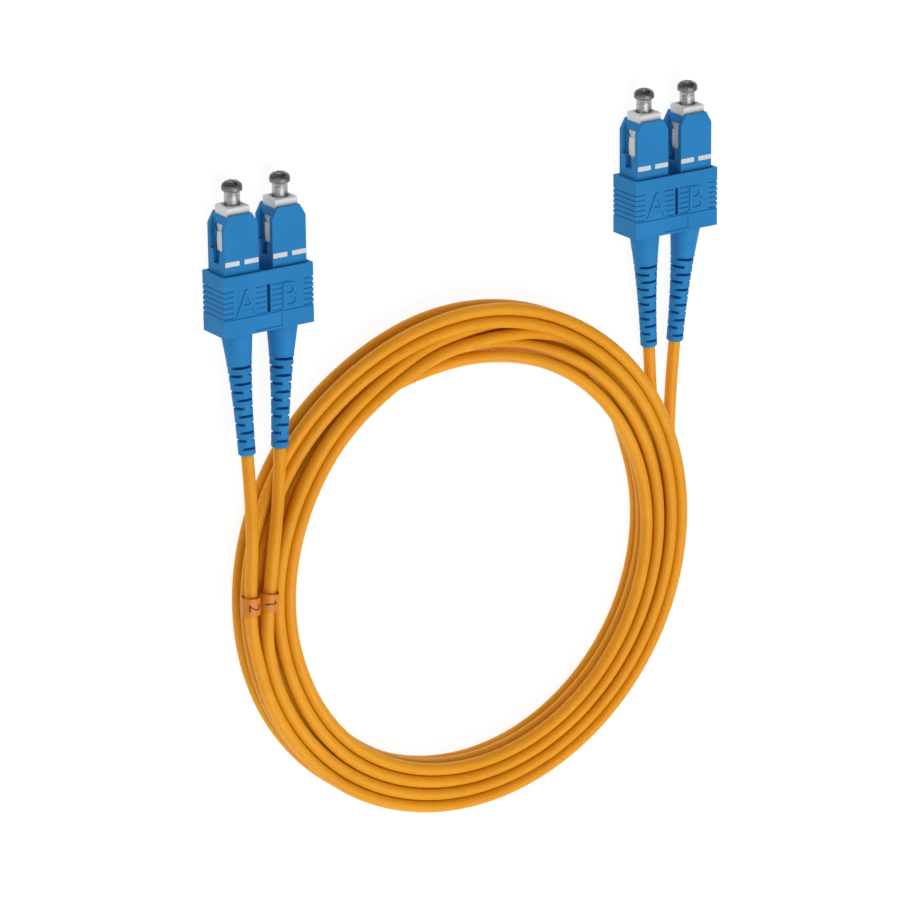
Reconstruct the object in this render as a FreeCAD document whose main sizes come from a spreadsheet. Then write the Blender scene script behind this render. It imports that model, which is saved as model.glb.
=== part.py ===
import FreeCAD
import Part
import Sketcher

import math
import os

# A duplex fibre optic patch cable, lying flat: two round cords side by side, wound in a ring, with a
# push-pull duplex connector on each end. The origin is the ring's centre on the surface that it lies on,
# +Z is up and both connectors point along +Y. Each connector is drawn upright, plug axis along Z from the
# clip's back end and its marked face towards -Y, and is then laid on its back.

doc = FreeCAD.newDocument("duplex_patch_cable")
sheet = doc.addObject("Spreadsheet::Sheet", "Sizes")

SIZES = {
    # duplex connector
    "plug_pitch": 12.7,
    "clip_width": 24.0,
    "clip_depth": 9.3,
    "clip_height": 14.4,
    "clip_seat": 3.2,
    "clip_play": 0.1,
    "rim_depth": 1.4,
    "rim_play": 0.4,
    "boot_hole_radius": 4.3,
    "rib_height": 0.32,
    "rib_pitch": 1.25,
    "rib_start": 4.5,
    "rib_depth": 0.22,
    "rib_wrap": 2.6,
    "rib_rows": 6,
    "clip_slot_width": 0.86,
    "clip_slot_depth": 2.4,
    "clip_slot_length": 6.6,
    "ledge_height": 0.25,
    "ledge_depth": 0.2,
    "ledge_level": 4.1,
    "panel_width": 7.0,
    "panel_start": 0.6,
    "panel_height": 3.0,
    # grip housing
    "grip_width": 9.0,
    "grip_depth": 7.4,
    "grip_length": 25.1,
    "grip_wall_play": 0.2,
    "grip_rear_radius": 3.3,
    "grip_rear_depth": 7.8,
    "grip_corner_width": 1.5,
    "grip_corner_length": 2.6,
    "recess_depth": 1.0,
    "recess_width": 5.2,
    "recess_length": 8.4,
    "recess_tail_width": 2.6,
    "recess_tail_length": 11.6,
    "key_width": 2.0,
    "key_height": 0.8,
    "key_length": 6.0,
    "key_setback": 1.2,
    # plug frame and what it holds
    "frame_width": 6.0,
    "frame_depth": 5.5,
    "frame_back": 10.2,
    "frame_front": 30.1,
    "frame_bore_radius": 2.35,
    "frame_bore_depth": 7.1,
    "frame_rear_depth": 12.0,
    "frame_throat_radius": 1.5,
    "frame_chamfer": 0.35,
    "latch_height": 0.5,
    "latch_width": 2.4,
    "latch_length": 4.4,
    "latch_start": 19.6,
    "ferrule_radius": 1.25,
    "ferrule_back": 20.0,
    "ferrule_tip": 32.3,
    "ferrule_chamfer": 0.3,
    "flange_radius": 2.2,
    "flange_length": 2.8,
    "flange_front": 22.0,
    "stem_radius": 1.3,
    "stem_back": 15.0,
    "fibre_radius": 0.45,
    "fibre_play": 0.1,
    "fibre_back": 4.0,
    "spring_radius": 1.85,
    "spring_wire": 0.45,
    "spring_turns": 3.5,
    "spring_length": 4.0,
    "spring_straights": 12,
    "stop_front": 14.2,
    "stop_front_radius": 2.25,
    "stop_collar_radius": 2.7,
    "stop_collar_length": 1.6,
    "stop_bore_radius": 1.45,
    "barrel_radius": 1.8,
    "barrel_back": 2.8,
    "crimp_outer_radius": 2.2,
    "crimp_back": 1.4,
    "crimp_front": 8.4,
    # dust cap
    "cap_neck_radius": 1.85,
    "cap_bore_radius": 1.35,
    "cap_head_radius": 2.45,
    "cap_back": 24.6,
    "cap_head_start": 32.4,
    "cap_top": 35.5,
    "cap_underside": 0.8,
    "cap_shoulder": 1.3,
    "cap_round": 0.45,
    "cap_crown_radius": 1.2,
    "cap_end_play": 0.15,
    "cap_notch_width": 0.5,
    "cap_notch_depth": 1.2,
    # boot, measured from the clip's back end
    "boot_pivot": 4.0,
    "boot_floor": 0.8,
    "boot_collar_front": 5.5,
    "boot_collar_back": 1.0,
    "boot_collar_radius": 2.9,
    "boot_collar_bore": 2.15,
    "boot_base_radius": 3.7,
    "boot_length": 29.5,
    "boot_end_radius": 2.05,
    "boot_end_round": 0.3,
    "slit_height": 0.7,
    "slit_pitch": 3.9,
    "slit_first": 7.9,
    "slit_rows": 11,
    "slit_web": 0.8,
    # cord
    "cord_radius": 1.5,
    "strand_pitch": 3.1,
    "layer_pitch": 3.05,
    "coil_outer_radius": 63.0,
    "coil_edge": 0.9,
    "strands_across": 4,
    "layers_deep": 3,
    "sleeve_outer_radius": 2.3,
    "sleeve_length": 4.2,
    "sleeve_lip": 0.2,
    "sleeve_mouth": 0.9,
    # where each connector lies
    "left_end_x": -55.9,
    "left_end_y": 68.2,
    "right_end_x": 58.5,
    "right_end_y": 72.2,
}

for row, (alias, value) in enumerate(SIZES.items(), start=1):
    sheet.set(f"A{row}", alias)
    sheet.set(f"B{row}", str(value))
    sheet.setAlias(f"B{row}", alias)
doc.recompute()


def size(expression):
    """The value of a size or of a formula made of sizes."""
    return float(sheet.evalExpression(expression))


def cells(formula):
    """The formula with each size's name pointed at the sheet, as an object outside it needs."""
    words = []
    for word in formula.replace("(", " ( ").replace(")", " ) ").split():
        words.append(f"Sizes.{word}" if word in SIZES else word)
    return " ".join(words)


def origin_feature(body, role):
    return next(feature for feature in body.Origin.OriginFeatures if feature.Role == role)


def new_body(node):
    body = doc.addObject("PartDesign::Body", node)
    body.Label = node
    return body


def new_sketch(body, name, plane, offset="0"):
    """A sketch on one of the body's own planes, moved along that plane's normal."""
    sketch = body.newObject("Sketcher::SketchObject", f"{body.Name}_{name}")
    sketch.AttachmentSupport = [(origin_feature(body, plane), "")]
    sketch.MapMode = "FlatFace"
    if offset != "0":
        sketch.setExpression("AttachmentOffset.Base.z", cells(offset))
    return sketch


def place_point(sketch, line, end, x, y):
    """Fixes one end of a line at formulas for its two coordinates."""
    for kind, formula in (("DistanceX", x), ("DistanceY", y)):
        number = sketch.addConstraint(Sketcher.Constraint(kind, -1, 1, line, end, size(formula)))
        if any(word in SIZES for word in formula.replace("(", " ").replace(")", " ").split()):
            sketch.setExpression(f"Constraints[{number}]", cells(formula))


def add_outline(sketch, points):
    """A closed outline of straight lines through points given as formulas."""
    corners = [FreeCAD.Vector(size(x), size(y), 0) for x, y in points]
    first = sketch.GeometryCount
    for start, stop in zip(corners, corners[1:] + corners[:1]):
        sketch.addGeometry(Part.LineSegment(start, stop), False)
    for step in range(len(corners)):
        after = first + (step + 1) % len(corners)
        sketch.addConstraint(Sketcher.Constraint("Coincident", first + step, 2, after, 1))
    for step, (x, y) in enumerate(points):
        place_point(sketch, first + step, 1, x, y)


def add_rectangle(sketch, left, bottom, right, top):
    add_outline(sketch, [(left, bottom), (right, bottom), (right, top), (left, top)])


def add_centred(sketch, width, depth, x="0"):
    add_rectangle(sketch, f"{x} - ({width}) / 2", f"0 - ({depth}) / 2",
                  f"{x} + ({width}) / 2", f"({depth}) / 2")


def add_circle(sketch, radius, x="0"):
    centre = FreeCAD.Vector(size(x), 0, 0)
    circle = sketch.addGeometry(Part.Circle(centre, FreeCAD.Vector(0, 0, 1), size(radius)))
    place_point(sketch, circle, 3, x, "0")
    number = sketch.addConstraint(Sketcher.Constraint("Radius", circle, size(radius)))
    sketch.setExpression(f"Constraints[{number}]", cells(radius))


def extrude(body, kind, name, sketch, length, reverse=False, both_ways=False):
    """A pad or pocket of a sketch. A pad leaves along the sketch's normal, a pocket against it."""
    feature = body.newObject(f"PartDesign::{kind}", f"{body.Name}_{name}")
    feature.Profile = sketch
    feature.setExpression("Length", cells(length))
    feature.Reversed = reverse
    feature.Midplane = both_ways
    return feature


def turned_body(node, profile):
    """A body turned about the plug axis from (radius, height) points."""
    body = new_body(node)
    sketch = new_sketch(body, "profile", "XZ_Plane")
    add_outline(sketch, profile)
    turn = body.newObject("PartDesign::Revolution", f"{node}_turn")
    turn.Profile = sketch
    turn.ReferenceAxis = (sketch, ["V_Axis"])
    turn.Angle = 360
    return body


def pattern_up(body, name, feature, pitch, count):
    """Repeats a feature upwards."""
    pattern = body.newObject("PartDesign::LinearPattern", f"{body.Name}_{name}")
    pattern.Originals = [feature]
    pattern.Direction = (origin_feature(body, "Z_Axis"), [""])
    pattern.Mode = "Spacing"
    pattern.Occurrences = count
    pattern.setExpression("Offset", cells(pitch))
    body.Tip = pattern
    return pattern


def duplex_clip(node):
    """The blue yoke that holds two grip housings side by side, ribbed where fingers pull it."""
    body = new_body(node)
    outline = new_sketch(body, "outline", "XY_Plane")
    add_centred(outline, "clip_width", "clip_depth")
    extrude(body, "Pad", "block", outline, "clip_height")

    seats = new_sketch(body, "seats", "XY_Plane", "clip_height")
    for side in ("0 - plug_pitch / 2", "plug_pitch / 2"):
        add_centred(seats, "grip_width + 2 * clip_play", "grip_depth + 2 * clip_play", side)
    extrude(body, "Pocket", "seat", seats, "clip_height - clip_seat")

    rim = new_sketch(body, "rim_outline", "XY_Plane", "clip_height")
    add_centred(rim, "plug_pitch + grip_width + 2 * rim_play", "grip_depth + 2 * rim_play")
    extrude(body, "Pocket", "rim", rim, "rim_depth")

    holes = new_sketch(body, "boot_holes", "XY_Plane", "clip_seat")
    for side in ("0 - plug_pitch / 2", "plug_pitch / 2"):
        add_circle(holes, "boot_hole_radius", side)
    extrude(body, "Pocket", "boot_hole", holes, "clip_seat")

    slot = new_sketch(body, "slot_outline", "XY_Plane", "rib_start")
    add_rectangle(slot, "0 - clip_slot_width / 2", "0 - clip_depth / 2",
                  "clip_slot_width / 2", "clip_slot_depth - clip_depth / 2")
    extrude(body, "Pocket", "slot", slot, "clip_slot_length", reverse=True)

    ledge = new_sketch(body, "ledge_outline", "XY_Plane", "ledge_level")
    add_rectangle(ledge, "0 - clip_width / 2", "0 - clip_depth / 2",
                  "clip_width / 2", "ledge_depth - clip_depth / 2")
    extrude(body, "Pocket", "ledge", ledge, "ledge_height", reverse=True)

    panel = new_sketch(body, "panel_outline", "XY_Plane", "panel_start")
    add_rectangle(panel, "0 - panel_width / 2", "0 - clip_depth / 2",
                  "panel_width / 2", "ledge_depth - clip_depth / 2")
    extrude(body, "Pocket", "panel", panel, "panel_height", reverse=True)

    # each groove wraps round one end of the clip and a little way over its faces
    groove = new_sketch(body, "groove_outline", "XY_Plane", "rib_start")
    for sign in ("0 - ", "0 + "):
        end = f"{sign}clip_width / 2"
        inner = f"{sign}( clip_width / 2 - rib_depth )"
        wrap = f"{sign}( clip_width / 2 - rib_wrap )"
        add_outline(groove, [
            (end, "0 - clip_depth / 2"), (wrap, "0 - clip_depth / 2"), (wrap, "rib_depth - clip_depth / 2"),
            (inner, "rib_depth - clip_depth / 2"), (inner, "clip_depth / 2 - rib_depth"),
            (wrap, "clip_depth / 2 - rib_depth"), (wrap, "clip_depth / 2"), (end, "clip_depth / 2"),
        ])
        beside_slot = f"{sign}clip_slot_width"
        slot_wrap = f"{sign}( clip_slot_width + rib_wrap )"
        add_rectangle(groove, beside_slot, "0 - clip_depth / 2", slot_wrap, "rib_depth - clip_depth / 2")
    cut = extrude(body, "Pocket", "groove", groove, "rib_height", reverse=True)
    pattern_up(body, "grooves", cut, "rib_pitch", int(size("rib_rows")))
    return body


# half the latch window, as width from its middle and depth from the grip's front: its waist is a pair of
# ramps that spread the latches of the socket
WINDOW_HALF = [
    (2.0, 2.4), (2.0, 3.3), (1.45, 3.9), (1.45, 4.6), (2.2, 6.0),
    (2.2, 7.2), (1.45, 9.0), (0.95, 9.2), (0.95, 10.8),
]


def grip_housing(node):
    """The blue sleeve that slides on the plug frame, with latch windows in its sides and a key behind."""
    body = new_body(node)
    front = "clip_seat + grip_length"
    outline = new_sketch(body, "outline", "XY_Plane", "clip_seat")
    add_centred(outline, "grip_width", "grip_depth")
    extrude(body, "Pad", "block", outline, "grip_length")

    bore = new_sketch(body, "bore_outline", "XY_Plane", front)
    add_centred(bore, "frame_width + 2 * grip_wall_play", "frame_depth + 2 * grip_wall_play")
    extrude(body, "Pocket", "bore", bore, "grip_length")

    rear = new_sketch(body, "rear_outline", "XY_Plane", "clip_seat")
    add_circle(rear, "grip_rear_radius")
    extrude(body, "Pocket", "rear_bore", rear, "grip_rear_depth", reverse=True)

    for name, width, length in (("recess", "recess_width", "recess_length"),
                                ("recess_tail", "recess_tail_width", "recess_tail_length")):
        recess = new_sketch(body, f"{name}_outline", "XY_Plane", front)
        for sign in ("0 - ", "0 + "):
            add_rectangle(recess, f"{sign}grip_width / 2", f"0 - {width} / 2",
                          f"{sign}( grip_width / 2 - recess_depth )", f"{width} / 2")
        extrude(body, "Pocket", name, recess, length)

    window = new_sketch(body, "window_outline", "YZ_Plane")
    right = [(f"0 + {across}", f"{front} - {down}") for across, down in WINDOW_HALF]
    left = [(f"0 - {across}", f"{front} - {down}") for across, down in reversed(WINDOW_HALF)]
    add_outline(window, right + left)
    extrude(body, "Pocket", "window", window, "2 * grip_width", both_ways=True)

    corner = new_sketch(body, "corner_outline", "XZ_Plane")
    for sign in ("0 - ", "0 + "):
        add_outline(corner, [
            (f"{sign}grip_width / 2", f"{front} - grip_corner_length"),
            (f"{sign}grip_width / 2", front),
            (f"{sign}( grip_width / 2 - grip_corner_width )", front),
        ])
    extrude(body, "Pocket", "corner", corner, "2 * grip_depth", both_ways=True)

    key = new_sketch(body, "key_outline", "XY_Plane", f"{front} - key_setback - key_length")
    add_rectangle(key, "0 - key_width / 2", "grip_depth / 2 - recess_depth / 2",
                  "key_width / 2", "grip_depth / 2 + key_height")
    extrude(body, "Pad", "key", key, "key_length")
    return body


def plug_frame(node):
    """The white inner body: a square tube with a throat for the flange and a latch shoulder each side."""
    body = new_body(node)
    outline = new_sketch(body, "outline", "XY_Plane", "frame_back")
    add_centred(outline, "frame_width", "frame_depth")
    extrude(body, "Pad", "block", outline, "frame_front - frame_back")

    shoulder = new_sketch(body, "shoulder_outline", "XY_Plane", "latch_start")
    add_centred(shoulder, "frame_width + 2 * latch_height", "latch_width")
    extrude(body, "Pad", "shoulder", shoulder, "latch_length")

    bore = new_sketch(body, "bore_outline", "XY_Plane", "frame_front")
    add_circle(bore, "frame_bore_radius")
    extrude(body, "Pocket", "bore", bore, "frame_bore_depth")

    rear = new_sketch(body, "rear_outline", "XY_Plane", "frame_back")
    add_circle(rear, "frame_bore_radius")
    extrude(body, "Pocket", "rear_bore", rear, "frame_rear_depth", reverse=True)

    throat = new_sketch(body, "throat_outline", "XY_Plane", "frame_front")
    add_circle(throat, "frame_throat_radius")
    throat_cut = extrude(body, "Pocket", "throat", throat, "frame_front - frame_back")
    doc.recompute()

    # the four outer edges of the front end are broken
    level = size("frame_front")
    edges = []
    for number, edge in enumerate(throat_cut.Shape.Edges, start=1):
        flat = all(abs(vertex.Z - level) < 1e-6 for vertex in edge.Vertexes)
        if flat and edge.Curve.TypeId == "Part::GeomLine":
            edges.append(f"Edge{number}")
    chamfer = body.newObject("PartDesign::Chamfer", f"{node}_front_edge")
    chamfer.Base = (throat_cut, edges)
    chamfer.setExpression("Size", cells("frame_chamfer"))
    return body


def ferrule(node):
    return turned_body(node, [
        ("0", "ferrule_back"), ("ferrule_radius", "ferrule_back"),
        ("ferrule_radius", "ferrule_tip - ferrule_chamfer"),
        ("ferrule_radius - ferrule_chamfer", "ferrule_tip"), ("0", "ferrule_tip"),
    ])


def ferrule_flange(node):
    """The metal holder: a head that meets the frame's throat and a stem inside the spring."""
    bore = "fibre_radius + fibre_play"
    shoulder = "flange_front - flange_length"
    return turned_body(node, [
        (bore, "stem_back"), ("stem_radius", "stem_back"), ("stem_radius", shoulder),
        ("flange_radius", shoulder), ("flange_radius", "flange_front"), ("ferrule_radius", "flange_front"),
        ("ferrule_radius", "ferrule_back"), (bore, "ferrule_back"),
    ])


def buffered_fibre(node):
    return turned_body(node, [
        ("0", "fibre_back"), ("fibre_radius", "fibre_back"),
        ("fibre_radius", "ferrule_back"), ("0", "ferrule_back"),
    ])


def stop_body(node):
    """The metal insert that closes the plug frame: spring seat in front, collar, and barrel for the crimp."""
    collar_back = "frame_back - stop_collar_length"
    return turned_body(node, [
        ("stop_bore_radius", "barrel_back"), ("barrel_radius", "barrel_back"), ("barrel_radius", collar_back),
        ("stop_collar_radius", collar_back), ("stop_collar_radius", "frame_back"),
        ("stop_front_radius", "frame_back"), ("stop_front_radius", "stop_front"),
        ("stop_bore_radius", "stop_front"),
    ])


def crimp_sleeve(node):
    return turned_body(node, [
        ("barrel_radius", "crimp_back"), ("crimp_outer_radius", "crimp_back"),
        ("crimp_outer_radius", "crimp_front"), ("barrel_radius", "crimp_front"),
    ])


def dust_cap(node):
    """A thimble with a rounded knob for a head, notched crosswise on its crown."""
    body = turned_body(node, [
        ("cap_bore_radius", "cap_back"), ("cap_neck_radius", "cap_back"),
        ("cap_neck_radius", "cap_head_start"),
        ("cap_head_radius", "cap_head_start + cap_underside"), ("cap_head_radius", "cap_top - cap_shoulder"),
        ("cap_head_radius - cap_round", "cap_top - cap_round"), ("cap_crown_radius", "cap_top"),
        ("0", "cap_top"), ("0", "ferrule_tip + cap_end_play"),
        ("cap_bore_radius", "ferrule_tip + cap_end_play"),
    ])
    cross = new_sketch(body, "notch_outline", "XY_Plane", "cap_top")
    half = "cap_notch_width / 2"
    reach = "cap_head_radius"
    add_outline(cross, [
        (half, half), (reach, half), (reach, f"0 - {half}"), (half, f"0 - {half}"), (half, f"0 - {reach}"),
        (f"0 - {half}", f"0 - {reach}"), (f"0 - {half}", f"0 - {half}"), (f"0 - {reach}", f"0 - {half}"),
        (f"0 - {reach}", half), (f"0 - {half}", half), (f"0 - {half}", reach), (half, reach),
    ])
    extrude(body, "Pocket", "notch", cross, "cap_notch_depth")
    return body


def boot(node):
    """The soft strain relief: a hollow collar, then a taper whose slits turn by a quarter from row to row."""
    rows = int(size("slit_rows"))
    profile = [
        ("0", "boot_floor"), ("boot_collar_bore", "boot_floor"), ("boot_collar_bore", "boot_collar_front"),
        ("boot_collar_radius", "boot_collar_front"), ("boot_collar_radius", "boot_collar_back"),
        ("boot_base_radius", "boot_collar_back"), ("boot_base_radius", "0"),
    ]
    # the rings between slits are plain, and the taper is taken up where the slits are
    rings = []
    for row in range(rows + 1):
        level = f"( slit_first + {row} * slit_pitch / 2 )"
        taper = f"( 1 - {level} / boot_length ) ^ 2"
        rings.append((f"boot_end_radius + ( boot_base_radius - boot_end_radius ) * {taper}", level))
    profile.append((rings[0][0], "slit_height - slit_first"))
    for (upper, level), (lower, _) in zip(rings, rings[1:]):
        profile += [(upper, f"0 - {level}"), (lower, f"0 - {level} - slit_height")]
    profile += [
        (rings[rows][0], "boot_end_round - boot_length"),
        ("boot_end_radius - boot_end_round", "0 - boot_length"), ("0", "0 - boot_length"),
    ]
    body = turned_body(node, profile)
    for name, first, sideways in (("face_slits", rows - 1, False), ("side_slits", rows - 2, True)):
        sketch = new_sketch(body, f"{name}_outline", "XY_Plane",
                            f"0 - slit_first - {first} * slit_pitch / 2 - slit_height")
        for sign in ("0 - ", "0 + "):
            near = f"{sign}slit_web"
            far = f"{sign}boot_base_radius"
            if sideways:
                add_rectangle(sketch, near, "0 - boot_base_radius", far, "boot_base_radius")
            else:
                add_rectangle(sketch, "0 - boot_base_radius", near, "boot_base_radius", far)
        cut = extrude(body, "Pocket", name, sketch, "slit_height", reverse=True)
        pattern_up(body, f"{name}_rows", cut, "slit_pitch", first // 2 + 1)
    return body


def coil_spring(node):
    """A few turns of square wire between the stop body and the flange, each turn in short straights."""
    wire = size("spring_wire")
    radius = size("spring_radius")
    low = size("stop_front") + wire / 2
    high = low + size("spring_length") - wire
    steps = int(size("spring_straights * spring_turns"))
    points = []
    for step in range(steps + 1):
        angle = math.tau * step / size("spring_straights")
        height = low + (high - low) * step / steps
        points.append(FreeCAD.Vector(radius * math.cos(angle), radius * math.sin(angle), height))
    rises = [FreeCAD.Vector(0, 0, side * wire / 2) for side in (-1, 1)]
    rings = []
    for point in points:
        outward = FreeCAD.Vector(point.x, point.y, 0).normalize() * (wire / 2)
        corners = [point - outward + rises[0], point + outward + rises[0],
                   point + outward + rises[1], point - outward + rises[1]]
        rings.append(Part.makePolygon(corners + corners[:1]))
    spring = doc.addObject("Part::Feature", node)
    spring.Label = node
    spring.Shape = Part.makeLoft(rings, True, True)
    return spring


def cable_coil(node):
    """The wound ring as one solid that the turns just fill, its edges broken by about a cord's roundness."""
    outer = "coil_outer_radius"
    inner = "coil_outer_radius - 2 * cord_radius - ( strands_across - 1 ) * strand_pitch"
    top = "2 * cord_radius + ( layers_deep - 1 ) * layer_pitch"
    cut = "coil_edge"
    return turned_body(node, [
        (f"{inner} + {cut}", "0"), (f"{outer} - {cut}", "0"), (outer, cut), (outer, f"{top} - {cut}"),
        (f"{outer} - {cut}", top), (f"{inner} + {cut}", top), (inner, f"{top} - {cut}"), (inner, cut),
    ])


def marker_sleeve(node):
    """A short printed band that grips the cord in its middle and stands open at both mouths."""
    end = "sleeve_length / 2"
    mouth = "sleeve_outer_radius - sleeve_lip"
    return turned_body(node, [
        ("cord_radius", f"sleeve_mouth - {end}"), (mouth, f"0 - {end}"),
        ("sleeve_outer_radius", f"0 - {end}"), ("sleeve_outer_radius", end),
        (mouth, end), ("cord_radius", f"{end} - sleeve_mouth"),
    ])


def cord_path(points):
    """Straight runs joined by tangent arcs, each as large as its two runs allow, and the arcs' radii."""
    edges = []
    radii = []
    here = points[0]
    for before, corner, after in zip(points, points[1:], points[2:]):
        back = (before - corner).normalize()
        ahead = (after - corner).normalize()
        reach = 0.45 * min((before - corner).Length, (after - corner).Length)
        half_turn = (math.pi - back.getAngle(ahead)) / 2
        start = corner + back * reach
        stop = corner + ahead * reach
        radius = reach / math.tan(half_turn)
        to_centre = (back + ahead).normalize()
        middle = corner + to_centre * (radius / math.cos(half_turn) - radius)
        edges.append(Part.LineSegment(here, start).toShape())
        edges.append(Part.Arc(start, middle, stop).toShape())
        radii.append(radius)
        here = stop
    edges.append(Part.LineSegment(here, points[-1]).toShape())
    return Part.Wire(edges), radii


def cord_leg(node, points):
    """One split leg of the cord as a plain tube along its route."""
    path, radii = cord_path(points)
    radius = size("cord_radius")
    circle = Part.Wire([Part.Circle(points[0], points[1] - points[0], radius).toShape()])
    leg = doc.addObject("Part::Feature", node)
    leg.Label = node
    leg.Shape = path.makePipeShell([circle], True, True)
    expected = math.pi * radius ** 2 * path.Length
    print(node, "length", round(path.Length, 1), "least radius", round(min(radii), 1),
          "volume over section times length", round(leg.Shape.Volume / expected, 4))
    return leg


def laid_down(x, y):
    """Lays an upright connector on its back with its clip's back end at x, y."""
    height = size("clip_depth / 2")
    return FreeCAD.Placement(FreeCAD.Vector(x, y, height), FreeCAD.Rotation(FreeCAD.Vector(1, 0, 0), -90))


# the boots bend with the cord: degrees towards +X and degrees up
BOOT_LEANS = {"left_a": (1.7, 3.8), "left_b": (-5.0, 3.8), "right_a": (5.0, -3.2), "right_b": (-3.6, -3.2)}

# each leg's route after its first, straight run out of the boot
LEG_ROUTES = {
    "left_a": [(-61.9, 19.0, 8.8), (-62.95, -5.0, 9.25), (-59.6, -16.0, 7.4)],
    "left_b": [(-55.6, 19.0, 8.8), (-58.7, -5.0, 9.25), (-56.3, -16.0, 7.4)],
    "right_a": [(57.2, 21.0, 1.6), (58.2, 6.0, 1.6)],
    "right_b": [(62.0, 21.0, 1.6), (61.7, 6.0, 1.6)],
}
LEG_FIRST_RUN = 9.0

# the marker sleeves sit on the left legs where those come down to the ring
SLEEVE_LEVEL = 2.7

STRAIGHT_PIECES = {
    "grip_housing": grip_housing,
    "plug_frame": plug_frame,
    "ferrule": ferrule,
    "ferrule_flange": ferrule_flange,
    "fibre": buffered_fibre,
    "stop_body": stop_body,
    "crimp_sleeve": crimp_sleeve,
    "dust_cap": dust_cap,
    "spring": coil_spring,
}

nodes = []
for end in ("left", "right"):
    x, y = size(f"{end}_end_x"), size(f"{end}_end_y")
    clip = duplex_clip(f"{end}_duplex_clip")
    clip.Placement = laid_down(x, y)
    nodes.append(clip)
    for letter, sign in (("a", -1), ("b", 1)):
        plug = f"{end}_{letter}"
        axis_x = x + sign * size("plug_pitch / 2")
        for piece, build in STRAIGHT_PIECES.items():
            body = build(f"{plug}_{piece}")
            body.Placement = laid_down(axis_x, y)
            nodes.append(body)

        # the boot swings about a point inside its collar
        lean, rise = BOOT_LEANS[plug]
        pivot = FreeCAD.Vector(0, 0, size("boot_pivot"))
        sideways = FreeCAD.Rotation(FreeCAD.Vector(0, 1, 0), -lean)
        swing = sideways * FreeCAD.Rotation(FreeCAD.Vector(1, 0, 0), -rise)
        relief = boot(f"{plug}_boot")
        relief.Placement = laid_down(axis_x, y) * FreeCAD.Placement(FreeCAD.Vector(), swing, pivot)
        nodes.append(relief)

        hinge = laid_down(axis_x, y).multVec(pivot)
        along = relief.Placement.Rotation.multVec(FreeCAD.Vector(0, 0, -1))
        exit_point = hinge + along * size("boot_pivot + boot_length")
        route = [exit_point, exit_point + along * LEG_FIRST_RUN]
        route += [FreeCAD.Vector(*point) for point in LEG_ROUTES[plug]]
        nodes.append(cord_leg(f"{plug}_leg", route))
        if end == "left":
            above, below = route[2], route[3]
            share = (SLEEVE_LEVEL - above.y) / (below.y - above.y)
            sleeve = marker_sleeve(f"marker_sleeve_{1 if letter == 'b' else 2}")
            sleeve.Placement = FreeCAD.Placement(
                above + (below - above) * share, FreeCAD.Rotation(FreeCAD.Vector(0, 0, 1), above - below))
            nodes.append(sleeve)
nodes.append(cable_coil("cable_coil"))

doc.recompute()
for item in doc.Objects:
    if "Invalid" in item.State or "Error" in item.State:
        raise RuntimeError(f"{item.Label} failed: {item.State}")
for node in nodes:
    if node.Shape.isNull() or not node.Shape.isValid():
        raise RuntimeError(f"{node.Label} has no valid shape")

os.makedirs("parts", exist_ok=True)
for node in nodes:
    node.Shape.exportStep(f"parts/{node.Label}.step")
print(len(nodes), "nodes")
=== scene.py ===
import math

import bmesh
import bpy
from mathutils import Matrix, Vector


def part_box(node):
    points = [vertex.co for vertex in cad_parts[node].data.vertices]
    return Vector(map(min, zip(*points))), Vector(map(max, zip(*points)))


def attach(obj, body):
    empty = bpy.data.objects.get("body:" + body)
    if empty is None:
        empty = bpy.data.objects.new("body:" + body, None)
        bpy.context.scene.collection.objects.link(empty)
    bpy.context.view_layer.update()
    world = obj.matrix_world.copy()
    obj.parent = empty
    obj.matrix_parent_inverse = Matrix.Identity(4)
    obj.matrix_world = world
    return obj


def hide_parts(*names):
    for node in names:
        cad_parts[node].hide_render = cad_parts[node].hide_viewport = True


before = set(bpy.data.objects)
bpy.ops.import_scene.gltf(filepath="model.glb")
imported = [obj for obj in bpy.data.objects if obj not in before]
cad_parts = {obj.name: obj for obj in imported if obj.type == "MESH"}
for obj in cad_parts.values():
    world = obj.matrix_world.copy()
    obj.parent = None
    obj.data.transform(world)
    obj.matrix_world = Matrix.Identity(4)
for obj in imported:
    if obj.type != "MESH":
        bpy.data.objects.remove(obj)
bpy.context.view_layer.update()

# The camera looks down on the cable as it lies, from beyond the left end and through a long lens. The axes are
# those of the picture: right, down and into it.
MM = 0.001
camera_place = Vector((-617.9, 407.9, 944.0))
picture_right = Vector((0.8351, -0.0105, 0.5500))
picture_down = Vector((-0.1847, -0.9471, 0.2623))
into_picture = Vector((0.5181, -0.3206, -0.7929))

camera_data = bpy.data.cameras.new("long_lens")
camera_data.lens = 200.0
camera_data.sensor_width = 36.0
camera_data.clip_start = 0.05
camera_data.clip_end = 20.0
camera = bpy.data.objects.new("camera", camera_data)
camera_axes = Matrix((picture_right, -picture_down, -into_picture)).transposed()
camera.matrix_world = Matrix.Translation(camera_place * MM) @ camera_axes.to_4x4()
bpy.context.collection.objects.link(camera)
bpy.context.scene.camera = camera


# The duplex cord: two 3 mm jackets of orange-yellow PVC side by side over yarn and a buffered fibre. It is
# wound in five and a half turns, four cords wide and three deep, and its legs part to reach the four boots.
CORD_DIAMETER = 3.0
OUTER_LANE = {"outer_cord": 61.5, "inner_cord": 58.4}
INNER_LANE = {"outer_cord": 55.3, "inner_cord": 52.2}
FIRST_LAYER = 1.5
SECOND_LAYER = 4.55
THIRD_LAYER = 7.6
NESTED = 0.4
SLACK_RISE = 0.8
FIRST_RAMP = 26
SECOND_RAMP = 32
DRAWN_IN = 2.4
LEANT_IN = 1.05
STRAY_OUT = 0.7
STRAY_RISE = 0.25
PARTING_RISE = 0.9
WINDING_STEP = 10
LAST_TURNED = 1970


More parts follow.
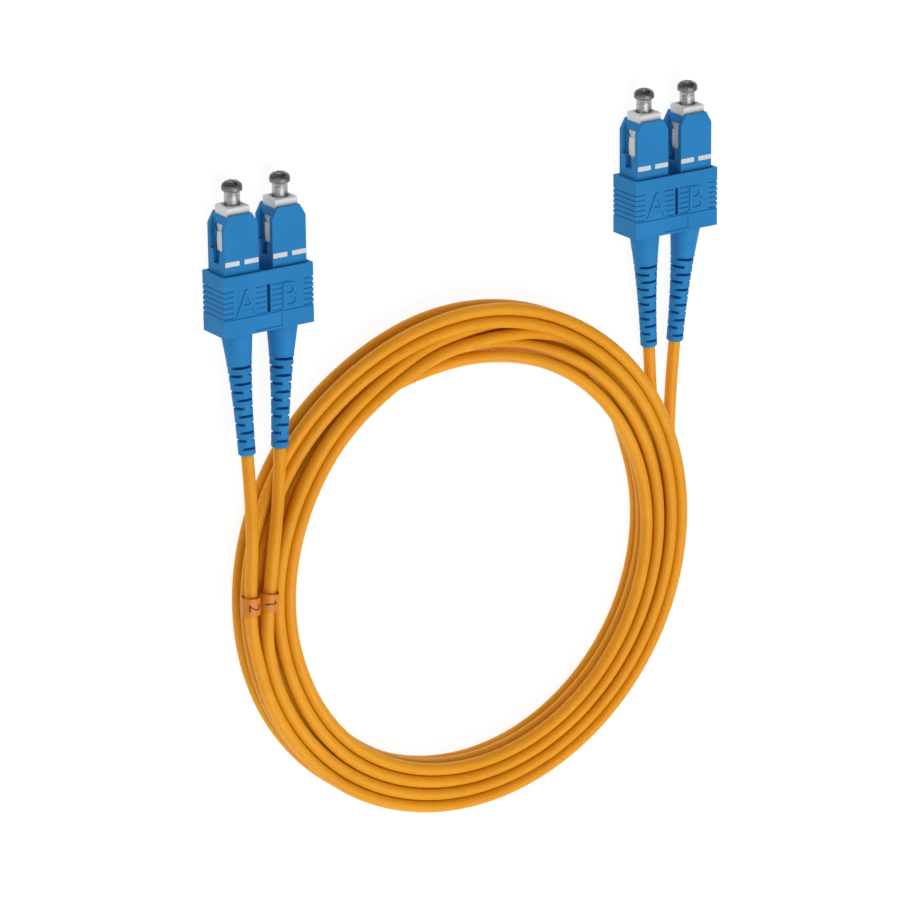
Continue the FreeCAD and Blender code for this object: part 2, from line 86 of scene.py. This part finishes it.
def winding(cord_name):
    """Where the cord changes lane or layer: the turn, the bearing from +X, and its radius and height there."""
    outside, inside = OUTER_LANE[cord_name], INNER_LANE[cord_name]
    if cord_name == "inner_cord":
        first_climb, second_climb, last_climb = 78, 98, 158
        held_in = 1.6
        dive = [
            (4, 90, inside + 2.1, THIRD_LAYER - 0.2),
            (4, 56, outside - NESTED, SECOND_LAYER),
        ]
    else:
        first_climb, second_climb, last_climb = 66, 80, 150
        held_in = 0.9
        dive = [
            (4, 93, inside + 1.5, SECOND_LAYER + 1.35),
            (4, 79, inside + 2.9, SECOND_LAYER + 0.25),
            (4, 60, outside - NESTED, SECOND_LAYER),
        ]
    return [
        (0, 0, outside, FIRST_LAYER),
        (1, 140, outside, FIRST_LAYER),
        (1, 118, outside, FIRST_LAYER + SLACK_RISE),
        (1, 92, outside, FIRST_LAYER),
        (1, 55, outside, FIRST_LAYER),
        (1, 22, inside, FIRST_LAYER),
        (2, first_climb, inside, FIRST_LAYER),
        (2, first_climb - FIRST_RAMP, inside - NESTED, SECOND_LAYER),
        (3, 125, inside - NESTED, SECOND_LAYER),
        (3, 100, inside - DRAWN_IN, SECOND_LAYER),
        (3, second_climb, inside - DRAWN_IN, SECOND_LAYER),
        (3, second_climb - SECOND_RAMP, inside - held_in, THIRD_LAYER),
        (4, 235, inside, THIRD_LAYER),
        (4, 195, inside - LEANT_IN, THIRD_LAYER),
        (4, 165, inside - LEANT_IN, THIRD_LAYER),
        (4, 120, inside, THIRD_LAYER),
        *dive,
        (5, last_climb, outside - NESTED, SECOND_LAYER),
        (5, 108, outside + STRAY_OUT, THIRD_LAYER + STRAY_RISE),
        (5, 84, outside + STRAY_OUT, THIRD_LAYER + STRAY_RISE),
        (5, 50, outside, THIRD_LAYER),
        (6, 205, outside, THIRD_LAYER),
        (6, 180, outside, THIRD_LAYER + PARTING_RISE),
    ]


def wound_point(rows, turned):
    """A control point of the cord, a little outside its turn because the spline cuts its corners."""
    for (turn, bearing, radius, height), (next_turn, next_bearing, next_radius, next_height) in zip(rows, rows[1:]):
        before = 360 * turn - bearing
        after = 360 * next_turn - next_bearing
        if turned <= after:
            share = (turned - before) / (after - before)
            break
    ease = share * share * (3 - 2 * share)
    reach = (radius + (next_radius - radius) * ease) / math.cos(math.radians(WINDING_STEP / 2))
    angle = math.radians(-turned)
    return (reach * math.cos(angle), reach * math.sin(angle), height + (next_height - height) * ease)


def grained_finish_group():
    """A moulded or drawn skin: a slow drift between two colours, and a fine grain for the gloss and the bump."""
    group = bpy.data.node_groups.new("grained_finish", "ShaderNodeTree")
    for socket, kind in (("Colour", "NodeSocketColor"), ("Drift Colour", "NodeSocketColor"),
                         ("Drift Scale", "NodeSocketFloat"), ("Grain Scale", "NodeSocketFloat"),
                         ("Gloss Roughness", "NodeSocketFloat"), ("Dull Roughness", "NodeSocketFloat")):
        group.interface.new_socket(socket, in_out="INPUT", socket_type=kind)
    for socket, kind in (("Colour", "NodeSocketColor"), ("Roughness", "NodeSocketFloat"),
                         ("Height", "NodeSocketFloat")):
        group.interface.new_socket(socket, in_out="OUTPUT", socket_type=kind)
    nodes, links = group.nodes, group.links
    given = nodes.new("NodeGroupInput")
    result = nodes.new("NodeGroupOutput")
    place = nodes.new("ShaderNodeTexCoord")
    drift = nodes.new("ShaderNodeTexNoise")
    drift.inputs["Detail"].default_value = 3.0
    links.new(place.outputs["Object"], drift.inputs["Vector"])
    links.new(given.outputs["Drift Scale"], drift.inputs["Scale"])
    spread = nodes.new("ShaderNodeMapRange")
    spread.inputs["From Min"].default_value = 0.35
    spread.inputs["From Max"].default_value = 0.65
    links.new(drift.outputs["Fac"], spread.inputs["Value"])
    tint = nodes.new("ShaderNodeMix")
    tint.data_type = "RGBA"
    links.new(spread.outputs["Result"], tint.inputs["Factor"])
    links.new(given.outputs["Colour"], tint.inputs["A"])
    links.new(given.outputs["Drift Colour"], tint.inputs["B"])
    links.new(tint.outputs["Result"], result.inputs["Colour"])
    grain = nodes.new("ShaderNodeTexNoise")
    grain.inputs["Detail"].default_value = 2.0
    links.new(place.outputs["Object"], grain.inputs["Vector"])
    links.new(given.outputs["Grain Scale"], grain.inputs["Scale"])
    links.new(grain.outputs["Fac"], result.inputs["Height"])
    gloss = nodes.new("ShaderNodeMapRange")
    gloss.inputs["From Min"].default_value = 0.3
    gloss.inputs["From Max"].default_value = 0.7
    links.new(given.outputs["Gloss Roughness"], gloss.inputs["To Min"])
    links.new(given.outputs["Dull Roughness"], gloss.inputs["To Max"])
    links.new(grain.outputs["Fac"], gloss.inputs["Value"])
    links.new(gloss.outputs["Result"], result.inputs["Roughness"])
    return group


grained_finish = grained_finish_group()


def grained_material(name, colour, drift_colour, drift_scale, grain_scale, gloss, dull, bump_depth, constants=None):
    """A material whose colour, gloss and bump come from the grained finish, with its own constants on the shader."""
    material = bpy.data.materials.new(name)
    material.use_nodes = True
    nodes, links = material.node_tree.nodes, material.node_tree.links
    shader = nodes["Principled BSDF"]
    finish = nodes.new("ShaderNodeGroup")
    finish.node_tree = grained_finish
    finish.inputs["Colour"].default_value = (*colour, 1)
    finish.inputs["Drift Colour"].default_value = (*drift_colour, 1)
    finish.inputs["Drift Scale"].default_value = drift_scale
    finish.inputs["Grain Scale"].default_value = grain_scale
    finish.inputs["Gloss Roughness"].default_value = gloss
    finish.inputs["Dull Roughness"].default_value = dull
    links.new(finish.outputs["Colour"], shader.inputs["Base Color"])
    links.new(finish.outputs["Roughness"], shader.inputs["Roughness"])
    bump = nodes.new("ShaderNodeBump")
    bump.inputs["Strength"].default_value = 0.5
    bump.inputs["Distance"].default_value = bump_depth * MM
    links.new(finish.outputs["Height"], bump.inputs["Height"])
    links.new(bump.outputs["Normal"], shader.inputs["Normal"])
    for socket, value in (constants or {}).items():
        shader.inputs[socket].default_value = value
    return material


cord_jacket = grained_material(
    "cord_jacket", colour=(0.80, 0.366, 0.014), drift_colour=(0.75, 0.330, 0.010),
    drift_scale=60.0, grain_scale=1800.0, gloss=0.34, dull=0.46, bump_depth=0.006,
    constants={"Specular IOR Level": 0.2, "Subsurface Weight": 0.9, "Subsurface Radius": (1.0, 0.45, 0.1),
               "Subsurface Scale": 2.0 * MM})

# Each cord's two ends: the way from the right boot's mouth to the ring, and from the ring to the left boot's mouth.
CORD_RUNS = {
    "inner_cord": {
        "from_right": [(55.08, 42.92, 2.78), (55.86, 33.97, 2.28), (57.1, 21.0, 1.6), (58.2, 8.0, 1.5)],
        "to_left": [(-58.35, -2.26, 9.2), (-57.06, 7.66, 9.01), (-55.3, 19.0, 8.8), (-53.23, 29.9, 7.6),
                    (-52.45, 38.83, 6.87)],
        "nodes": ("right_a_leg", "left_b_leg"),
    },
    "outer_cord": {
        "from_right": [(62.75, 42.86, 2.78), (62.19, 33.89, 2.28), (62.0, 21.0, 1.6), (61.8, 9.0, 1.5)],
        "to_left": [(-62.83, -2.3, 9.2), (-62.39, 7.7, 9.01), (-61.5, 19.0, 8.8), (-60.98, 29.75, 7.5),
                    (-61.26, 38.75, 6.87)],
        "nodes": ("right_b_leg", "left_a_leg", "cable_coil"),
    },
}

for cord_name, run in CORD_RUNS.items():
    rows = winding(cord_name)
    wound = [wound_point(rows, turned) for turned in range(0, LAST_TURNED + 1, WINDING_STEP)]
    route = run["from_right"] + wound + run["to_left"]
    curve = bpy.data.curves.new(cord_name, "CURVE")
    curve.dimensions = "3D"
    curve.bevel_depth = CORD_DIAMETER / 2 * MM
    curve.bevel_resolution = 6
    curve.resolution_u = 5
    curve.use_fill_caps = True
    spline = curve.splines.new("NURBS")
    spline.points.add(len(route) - 1)
    for control, (x, y, z) in zip(spline.points, route):
        control.co = (x * MM, y * MM, z * MM, 1)
    spline.order_u = 3
    spline.use_endpoint_u = True
    curve.materials.append(cord_jacket)
    cord = bpy.data.objects.new(cord_name, curve)
    bpy.context.collection.objects.link(cord)
    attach(cord, "cable")
    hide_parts(*run["nodes"])


# The marker sleeves: short lengths of orange shrink tube on the left end's legs, printed with the leg's number
# in brown, read from the side of the cord.
SLEEVE_RADIUS = 2.3
SLEEVE_RISE = -0.0188
SLEEVES = {
    "marker_sleeve_2": {"digit": "2", "bearing": math.radians(-5), "lean": 0.0438},
    "marker_sleeve_1": {"digit": "1", "bearing": math.radians(-17), "lean": 0.1292},
}
DIGIT_TALL = 2.9
DIGIT_PROUD = 0.04
DIGIT_THINNED = 0.008
DIGIT_FACET = 0.3
DIGIT_CUTS = 5
FLAG_LENGTH = 0.95
FLAG_WIDTH = 0.26
FLAG_SLOPE = math.radians(40)
QUARTER_TURN = math.radians(90)
OUTLINE_MERGE = 0.005

shrink_tube = grained_material(
    "shrink_tube", colour=(0.72, 0.235, 0.016), drift_colour=(0.66, 0.21, 0.012),
    drift_scale=220.0, grain_scale=2400.0, gloss=0.3, dull=0.42, bump_depth=0.004,
    constants={"Specular IOR Level": 0.3})
brown_ink = grained_material(
    "brown_ink", colour=(0.085, 0.016, 0.004), drift_colour=(0.12, 0.024, 0.006),
    drift_scale=900.0, grain_scale=3000.0, gloss=0.4, dull=0.55, bump_depth=0.003)


def character_form(character, tall, proud, thinned=0.0):
    """One plain character as a closed form, centred on the origin, its face towards +Z and its foot at -Y."""
    outline = bpy.data.curves.new(f"outline_{character}", "FONT")
    outline.body = character
    outline.extrude = 0.5
    outline.offset = -thinned
    outline.resolution_u = 6
    lettering = bpy.data.objects.new(f"outline_{character}", outline)
    flat = bpy.data.meshes.new_from_object(lettering)
    bpy.data.objects.remove(lettering)
    form = bmesh.new()
    form.from_mesh(flat)
    bpy.data.meshes.remove(flat)
    bmesh.ops.remove_doubles(form, verts=form.verts, dist=OUTLINE_MERGE)
    low = Vector([min(vert.co[axis] for vert in form.verts) for axis in range(3)])
    high = Vector([max(vert.co[axis] for vert in form.verts) for axis in range(3)])
    bmesh.ops.translate(form, verts=form.verts, vec=-(low + high) / 2)
    grown = tall / (high.y - low.y)
    bmesh.ops.scale(form, verts=form.verts, vec=(grown, grown, proud / (high.z - low.z)))
    return form


def finished_piece(name, form, material=None):
    """The form as an object that is in the scene, with its finish."""
    mesh = bpy.data.meshes.new(name)
    form.to_mesh(mesh)
    form.free()
    if material:
        mesh.materials.append(material)
    piece = bpy.data.objects.new(name, mesh)
    bpy.context.collection.objects.link(piece)
    return piece


for node, marking in SLEEVES.items():
    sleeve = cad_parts[node]
    sleeve.data.materials.clear()
    sleeve.data.materials.append(shrink_tube)

    low, high = (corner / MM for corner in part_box(node))
    middle = (low + high) / 2
    digit = marking["digit"]
    form = character_form(digit, DIGIT_TALL, DIGIT_PROUD, DIGIT_THINNED)
    if digit == "1":
        flag = bmesh.ops.create_cube(form, size=1.0)["verts"]
        bmesh.ops.scale(form, verts=flag, vec=(FLAG_LENGTH, FLAG_WIDTH, DIGIT_PROUD))
        bmesh.ops.rotate(form, verts=flag, cent=(0, 0, 0), matrix=Matrix.Rotation(FLAG_SLOPE, 3, "Z"))
        bmesh.ops.translate(form, verts=flag, vec=(-FLAG_LENGTH / 3, DIGIT_TALL / 2 - FLAG_LENGTH / 3, 0))
    bmesh.ops.triangulate(form, faces=form.faces)
    long_edges = [edge for edge in form.edges if edge.calc_length() > DIGIT_FACET]
    bmesh.ops.subdivide_edges(form, edges=long_edges, cuts=DIGIT_CUTS, use_grid_fill=True)
    bmesh.ops.triangulate(form, faces=form.faces)
    bmesh.ops.rotate(form, verts=form.verts, cent=(0, 0, 0), matrix=Matrix.Rotation(-QUARTER_TURN, 3, "Z"))
    for vert in form.verts:
        bearing = marking["bearing"] + vert.co.x / SLEEVE_RADIUS
        reach = SLEEVE_RADIUS + DIGIT_PROUD / 2 + vert.co.z
        vert.co = Vector((middle.x + reach * math.sin(bearing) + marking["lean"] * vert.co.y, middle.y + vert.co.y,
                          middle.z + reach * math.cos(bearing) + SLEEVE_RISE * vert.co.y)) * MM
    digit_print = finished_piece(f"digit_{digit}", form, brown_ink)
    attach(digit_print, "cable")


# The boots: soft blue rubber, moulded as long tapers and pushed over the crimped end of each leg. Slits let them
# bend: each row is cut in from two opposite sides, a quarter turn on from the row before.
PLUGS = ("left_a", "left_b", "right_a", "right_b")

blue_rubber = grained_material(
    "blue_rubber", colour=(0.030, 0.232, 0.535), drift_colour=(0.025, 0.210, 0.495),
    drift_scale=130.0, grain_scale=2600.0, gloss=0.44, dull=0.58, bump_depth=0.008,
    constants={"Specular IOR Level": 0.12, "Specular Tint": (0.3, 0.65, 1.0, 1)})

for plug in PLUGS:
    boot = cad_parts[f"{plug}_boot"]
    boot.data.materials.clear()
    boot.data.materials.append(blue_rubber)


# The contacts and what drives them: a white zirconia ferrule pressed into a nickelled flange, the buffered fibre
# bonded in it, and a steel spring behind. The turned stop body and the crimp sleeve hold the cord's yarn.
zirconia = grained_material(
    "zirconia", colour=(0.95, 0.95, 0.94), drift_colour=(0.91, 0.91, 0.90),
    drift_scale=500.0, grain_scale=4000.0, gloss=0.1, dull=0.18, bump_depth=0.001)
fibre_buffer = grained_material(
    "fibre_buffer", colour=(0.80, 0.78, 0.70), drift_colour=(0.74, 0.71, 0.62),
    drift_scale=700.0, grain_scale=4000.0, gloss=0.35, dull=0.5, bump_depth=0.003)
nickel = grained_material(
    "nickel", colour=(0.70, 0.68, 0.62), drift_colour=(0.62, 0.60, 0.55),
    drift_scale=300.0, grain_scale=5000.0, gloss=0.2, dull=0.36, bump_depth=0.002,
    constants={"Metallic": 1.0})
spring_steel = grained_material(
    "spring_steel", colour=(0.50, 0.50, 0.51), drift_colour=(0.40, 0.40, 0.42),
    drift_scale=600.0, grain_scale=5000.0, gloss=0.22, dull=0.4, bump_depth=0.002,
    constants={"Metallic": 1.0})
INNER_FINISHES = {
    "ferrule": zirconia,
    "fibre": fibre_buffer,
    "ferrule_flange": nickel,
    "stop_body": nickel,
    "crimp_sleeve": nickel,
    "spring": spring_steel,
}

for plug in PLUGS:
    for part, finish in INNER_FINISHES.items():
        inner_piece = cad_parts[f"{plug}_{part}"]
        inner_piece.data.materials.clear()
        inner_piece.data.materials.append(finish)


# The plug frames: white plastic, square outside and bored for the ferrule, with a latch shoulder on each side.
# Their moulded edges are broken a little, but not round the mouths: the front one is chamfered almost to its bore,
# and the back one is covered.
FRAME_EDGE = 0.07
MOUTH_DEPTH = 0.01
SHARP_EDGE = math.radians(30)
FLAT_WITHIN = math.radians(0.5)
FACET_MERGE = 0.0005
CORNER_MERGE = 0.008

white_plastic = grained_material(
    "white_plastic", colour=(0.75, 0.76, 0.755), drift_colour=(0.71, 0.72, 0.72),
    drift_scale=180.0, grain_scale=2200.0, gloss=0.32, dull=0.44, bump_depth=0.004,
    constants={"Specular IOR Level": 0.3})


def broken_edges(node, edge, material, mouth_depth=0.0):
    """The moulded piece, which stands for the node, with its sharp edges broken between its mouths along Y."""
    low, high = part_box(node)
    front = high.y - mouth_depth * MM
    back = low.y + mouth_depth * MM
    form = bmesh.new()
    form.from_mesh(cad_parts[node].data)
    bmesh.ops.remove_doubles(form, verts=form.verts, dist=FACET_MERGE * MM)
    bmesh.ops.dissolve_limit(form, angle_limit=FLAT_WITHIN, verts=form.verts, edges=form.edges)
    broken = form.edges.layers.float.new("bevel_weight_edge")
    for line in form.edges:
        levels = [vert.co.y for vert in line.verts]
        at_mouth = mouth_depth > 0 and (min(levels) > front or max(levels) < back)
        line[broken] = 0.0 if at_mouth or line.calc_face_angle(0.0) < SHARP_EDGE else 1.0
    piece = finished_piece(f"{node}_moulded", form, material)
    mesh = piece.data
    if "custom_normal" in mesh.attributes:
        mesh.attributes.remove(mesh.attributes["custom_normal"])
    mesh.shade_smooth()
    rounding = piece.modifiers.new("broken_edges", "BEVEL")
    rounding.width = edge * MM
    rounding.segments = 2
    rounding.profile = 0.5
    rounding.limit_method = "WEIGHT"
    rounding.harden_normals = True
    closing = piece.modifiers.new("closed_corners", "WELD")
    closing.merge_threshold = CORNER_MERGE * MM
    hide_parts(node)
    return piece


for plug in PLUGS:
    plug_frame = broken_edges(f"{plug}_plug_frame", FRAME_EDGE, white_plastic, MOUTH_DEPTH)
    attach(plug_frame, "cable")


# The grip housings: blue moulded sleeves that slide on the plug frames to free the latch, open at the sides where
# the latch is seen. Two white bars printed across the front show when the plug is home.
GRIP_EDGE = 0.08
BAR_LENGTH = 3.75
BAR_WIDTH = 1.13
BAR_CORNER = 0.12
BAR_INSET = 0.1
BAR_LEVEL = 13.9
PRINT_DEPTH = 0.05

blue_plastic = grained_material(
    "blue_plastic", colour=(0.030, 0.228, 0.530), drift_colour=(0.025, 0.210, 0.495),
    drift_scale=90.0, grain_scale=1900.0, gloss=0.34, dull=0.46, bump_depth=0.005,
    constants={"Specular IOR Level": 0.07, "Specular Tint": (0.25, 0.6, 1.0, 1)})
white_print = grained_material(
    "white_print", colour=(0.68, 0.68, 0.69), drift_colour=(0.62, 0.62, 0.64),
    drift_scale=700.0, grain_scale=2600.0, gloss=0.4, dull=0.55, bump_depth=0.003)

for plug in PLUGS:
    end = plug.split("_")[0]
    grip_node = f"{plug}_grip_housing"
    grip = broken_edges(grip_node, GRIP_EDGE, blue_plastic)
    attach(grip, f"{end}_grip")

    low, high = (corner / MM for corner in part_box(grip_node))
    first_bar = low.x + BAR_INSET + BAR_LENGTH / 2
    last_bar = high.x - BAR_INSET - BAR_LENGTH / 2
    form = bmesh.new()
    for bar_centre in (first_bar, last_bar):
        bar = bmesh.ops.create_grid(form, x_segments=1, y_segments=1, size=0.5)["verts"]
        bmesh.ops.scale(form, verts=bar, vec=(BAR_LENGTH, BAR_WIDTH, 1))
        bmesh.ops.translate(form, verts=bar, vec=(bar_centre, low.y + BAR_LEVEL, high.z + PRINT_DEPTH))
    bmesh.ops.bevel(form, geom=form.verts, offset=BAR_CORNER, segments=3, profile=0.5, affect="VERTICES",
                    material=-1)
    bmesh.ops.solidify(form, geom=form.faces, thickness=PRINT_DEPTH)
    bmesh.ops.recalc_face_normals(form, faces=form.faces)
    bmesh.ops.scale(form, verts=form.verts, vec=(MM, MM, MM))
    bars = finished_piece(f"{plug}_bars", form, white_print)
    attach(bars, f"{end}_grip")


# The duplex clips: one blue moulding on each end that holds both grips side by side, ribbed for the fingers. The
# letters A and B stand a little proud of the front to tell the two plugs apart.
CLIP_EDGE = 0.08
LETTER_TALL = 6.1
LETTER_LEVEL = 7.75
LETTER_OUT = 5.8
LETTER_PROUD = 0.28
LETTER_SUNK = 0.01

for end in ("left", "right"):
    clip_node = f"{end}_duplex_clip"
    clip = broken_edges(clip_node, CLIP_EDGE, blue_plastic)
    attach(clip, f"{end}_grip")

    low, high = (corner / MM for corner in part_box(clip_node))
    for letter, side in (("A", -1), ("B", 1)):
        form = character_form(letter, LETTER_TALL, LETTER_PROUD)
        letter_place = ((low.x + high.x) / 2 + side * LETTER_OUT, low.y + LETTER_LEVEL,
                        high.z + LETTER_PROUD / 2 - LETTER_SUNK)
        bmesh.ops.translate(form, verts=form.verts, vec=letter_place)
        bmesh.ops.scale(form, verts=form.verts, vec=(MM, MM, MM))
        raised_letter = finished_piece(f"{end}_letter_{letter}", form, blue_plastic)
        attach(raised_letter, f"{end}_grip")


# The dust caps: smoky clear plastic thimbles with a notched head, pushed over the ferrules until the plug is used.
# The plastic is tinted through, so the solid heads are darker than the thin necks. Where the surface turns away from
# the view, its colour is painted darker towards a dark rim colour: painted shade.
SMOKE_PER_MM = 0.2
HEAD_SMOKE = (0.19, 0.19, 0.20, 1)
# The colour of the painted shade on the caps' rims, where the surface turns away from the view.
PAINTED_RIM_SHADE = (0.05, 0.05, 0.055, 1)
CAP_NECK = 1.85
CAP_BORE = 1.32
CAP_HEAD = 2.45
CAP_CROWN = 1.45
CAP_SHOULDER = 2.2
CAP_LENGTH = 10.9
BORE_ROOF = 8.2
NECK_TOP = 8.4
HEAD_LOW = 8.85
HEAD_HIGH = 9.8
SHOULDER_HIGH = 10.4
HEAD_ROUND = 0.16
NOTCH_WIDTH = 0.5
NOTCH_DEPTH = 1.2
CUTTER_REACH = 3.0
CUTTER_TALL = 2.0
TURNING_STEPS = 72
SEAM_MERGE = 0.0005
LEVEL_WITHIN = 0.001
CUT_MERGE = 0.006
CAP_SHARP_EDGE = math.radians(35)

smoky_plastic = grained_material(
    "smoky_plastic", colour=(1.0, 1.0, 1.0), drift_colour=(0.98, 0.98, 0.985),
    drift_scale=300.0, grain_scale=3000.0, gloss=0.05, dull=0.12, bump_depth=0.002,
    constants={"Transmission Weight": 1.0, "IOR": 1.1, "Coat Weight": 1.0, "Coat Roughness": 0.06})
nodes, links = smoky_plastic.node_tree.nodes, smoky_plastic.node_tree.links
smoke = nodes.new("ShaderNodeVolumeAbsorption")
smoke.inputs["Color"].default_value = (0.04, 0.04, 0.05, 1)
smoke.inputs["Density"].default_value = SMOKE_PER_MM / MM
links.new(smoke.outputs["Volume"], nodes["Material Output"].inputs["Volume"])
base_colour = nodes["Principled BSDF"].inputs["Base Color"]
thickness = nodes.new("ShaderNodeAttribute")
thickness.attribute_name = "thickness"
head_tint = nodes.new("ShaderNodeMix")
head_tint.data_type = "RGBA"
head_tint.inputs["B"].default_value = HEAD_SMOKE
links.new(thickness.outputs["Fac"], head_tint.inputs["Factor"])
links.new(base_colour.links[0].from_socket, head_tint.inputs["A"])
# Painted shade: the Layer Weight facing darkens the base colour towards the rim colour, so the caps' outlines are
# painted dark as seen from the camera.
painted_shade_facing = nodes.new("ShaderNodeLayerWeight")
painted_shade_facing.inputs["Blend"].default_value = 0.42
painted_rim_shade = nodes.new("ShaderNodeMix")
painted_rim_shade.data_type = "RGBA"
painted_rim_shade.inputs["B"].default_value = PAINTED_RIM_SHADE
links.new(painted_shade_facing.outputs["Facing"], painted_rim_shade.inputs["Factor"])
links.new(head_tint.outputs["Result"], painted_rim_shade.inputs["A"])
links.new(painted_rim_shade.outputs["Result"], base_colour)


def turned_thimble():
    """The cap as turned, its open end at the origin and its head towards +Y."""
    form = bmesh.new()
    section = [(0, CAP_LENGTH), (CAP_CROWN, CAP_LENGTH), (CAP_SHOULDER, SHOULDER_HIGH), (CAP_HEAD, HEAD_HIGH),
               (CAP_HEAD, HEAD_LOW), (CAP_NECK, NECK_TOP), (CAP_NECK, 0), (CAP_BORE, 0), (CAP_BORE, BORE_ROOF),
               (0, BORE_ROOF)]
    corners = [form.verts.new((radius, level, 0)) for radius, level in section]
    for corner, next_corner in zip(corners, corners[1:]):
        form.edges.new((corner, next_corner))
    bmesh.ops.spin(form, geom=form.verts[:] + form.edges[:], axis=(0, 1, 0), cent=(0, 0, 0), steps=TURNING_STEPS,
                   angle=math.tau, use_merge=True)
    bmesh.ops.remove_doubles(form, verts=form.verts, dist=SEAM_MERGE)
    bmesh.ops.recalc_face_normals(form, faces=form.faces)
    poles = [vert for vert in form.verts if vert.co.xz.length < LEVEL_WITHIN]
    bmesh.ops.dissolve_verts(form, verts=poles)
    head_rings = [edge for edge in form.edges if min(vert.co.y for vert in edge.verts) > NECK_TOP
                  and abs(edge.verts[0].co.y - edge.verts[1].co.y) < LEVEL_WITHIN]
    bmesh.ops.bevel(form, geom=head_rings, offset=HEAD_ROUND, segments=4, profile=0.5, affect="EDGES", material=-1)
    return finished_piece("thimble", form)


def notch_cutter():
    """Two crossed slots for the head, as one plus-shaped block."""
    form = bmesh.new()
    bmesh.ops.create_grid(form, x_segments=3, y_segments=3, size=CUTTER_REACH)
    for vert in form.verts:
        for axis in (0, 1):
            if abs(vert.co[axis]) < CUTTER_REACH / 2:
                vert.co[axis] = math.copysign(NOTCH_WIDTH / 2, vert.co[axis])
    centres = {face: face.calc_center_median() for face in form.faces}
    between_slots = [face for face, centre in centres.items() if min(abs(centre.x), abs(centre.y)) > NOTCH_WIDTH / 2]
    bmesh.ops.delete(form, geom=between_slots, context="FACES")
    raised = bmesh.ops.extrude_face_region(form, geom=form.faces[:])["geom"]
    raised_verts = [item for item in raised if isinstance(item, bmesh.types.BMVert)]
    bmesh.ops.translate(form, verts=raised_verts, vec=(0, 0, CUTTER_TALL))
    bmesh.ops.recalc_face_normals(form, faces=form.faces)
    bmesh.ops.rotate(form, verts=form.verts, cent=(0, 0, 0), matrix=Matrix.Rotation(-QUARTER_TURN, 3, "X"))
    bmesh.ops.translate(form, verts=form.verts, vec=(0, CAP_LENGTH - NOTCH_DEPTH, 0))
    return finished_piece("notch_cutter", form)


thimble = turned_thimble()
cutter = notch_cutter()
notch = thimble.modifiers.new("notch", "BOOLEAN")
notch.operation = "DIFFERENCE"
notch.object = cutter
bpy.context.view_layer.update()
notched = bpy.data.meshes.new_from_object(thimble.evaluated_get(bpy.context.evaluated_depsgraph_get()))
for tool in (thimble, cutter):
    bpy.data.objects.remove(tool)

for plug in PLUGS:
    low, high = (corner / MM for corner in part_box(f"{plug}_dust_cap"))
    form = bmesh.new()
    form.from_mesh(notched)
    bmesh.ops.remove_doubles(form, verts=form.verts, dist=CUT_MERGE)
    bmesh.ops.dissolve_degenerate(form, dist=CUT_MERGE, edges=form.edges)
    depth = form.verts.layers.float.new("thickness")
    for vert in form.verts:
        vert[depth] = 1.0 if vert.co.y > NECK_TOP + CUT_MERGE else 0.0
    bmesh.ops.translate(form, verts=form.verts, vec=((low.x + high.x) / 2, low.y, (low.z + high.z) / 2))
    bmesh.ops.scale(form, verts=form.verts, vec=(MM, MM, MM))
    dust_cap = finished_piece(f"{plug}_thimble", form, smoky_plastic)
    dust_cap.data.shade_smooth()
    dust_cap.data.set_sharp_from_angle(angle=CAP_SHARP_EDGE)
    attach(dust_cap, f"{plug}_cap")
    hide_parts(f"{plug}_dust_cap")


# A white sheet of paper under the cable, which glows a little as paper does over a light table. A white tent
# lights it all evenly, with one large soft light overhead.
paper = bpy.data.materials.new("paper")
paper.use_nodes = True
paper_shader = paper.node_tree.nodes["Principled BSDF"]
paper_shader.inputs["Base Color"].default_value = (0.12, 0.12, 0.12, 1)
paper_shader.inputs["Roughness"].default_value = 0.9
paper_shader.inputs["Emission Color"].default_value = (1, 1, 1, 1)
paper_shader.inputs["Emission Strength"].default_value = 0.91
form = bmesh.new()
bmesh.ops.create_grid(form, x_segments=1, y_segments=1, size=3.0)
floor = finished_piece("paper", form, paper)

softbox_data = bpy.data.lights.new("softbox", "AREA")
softbox_data.shape = "SQUARE"
softbox_data.size = 1.4
softbox_data.energy = 20.5
softbox = bpy.data.objects.new("softbox", softbox_data)
softbox.location = (0.05, -0.6, 1.45)
softbox.rotation_euler = (-Vector(softbox.location)).to_track_quat("-Z", "Y").to_euler()
bpy.context.collection.objects.link(softbox)

world = bpy.data.worlds.new("studio")
world.use_nodes = True
world.node_tree.nodes["Background"].inputs["Color"].default_value = (1.0, 1.0, 1.0, 1)
world.node_tree.nodes["Background"].inputs["Strength"].default_value = 0.40
bpy.context.scene.world = world
bpy.context.scene.view_settings.view_transform = "Standard"
